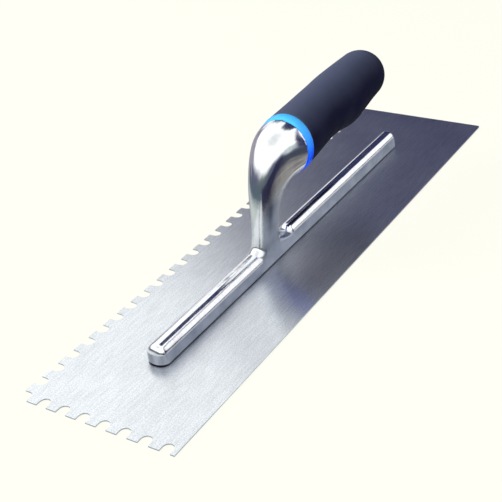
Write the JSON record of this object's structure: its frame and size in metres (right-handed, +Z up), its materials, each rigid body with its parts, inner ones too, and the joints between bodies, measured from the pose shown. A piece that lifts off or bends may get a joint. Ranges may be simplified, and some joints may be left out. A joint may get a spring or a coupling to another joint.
{
  "type": "notched trowel",
  "caption": "Rectangular steel spreading trowel with U-shaped notches on one long edge and one end, a riveted cast mounting bar, a swan neck and a soft-grip handle.",
  "frame": {"origin": "middle of the blade's flat underside", "axes": "+Y along the blade towards the free end of the grip, -Y the notched end, -X the notched long edge, +Z up from the blade to the grip"},
  "size_m": [0.1016, 0.4064, 0.0889],
  "materials": {
    "blade_steel": "fine brushed grain along the blade",
    "mounting_aluminium": "polished casting with satin sides",
    "rivet_steel": "ground flush",
    "collar_plastic": "glossy",
    "grip_rubber": "matt, fine-grained"
  },
  "bodies": {
    "root": {"blade": "blade_steel", "mounting": "mounting_aluminium", "grip_core": "collar_plastic", "soft_grip": "grip_rubber", "rivet_1": "rivet_steel", "rivet_2": "rivet_steel", "rivet_3": "rivet_steel", "rivet_4": "rivet_steel", "rivet_5": "rivet_steel", "rivet_6": "rivet_steel", "rivet_7": "rivet_steel", "rivet_8": "rivet_steel"}
  },
  "joints": []
}
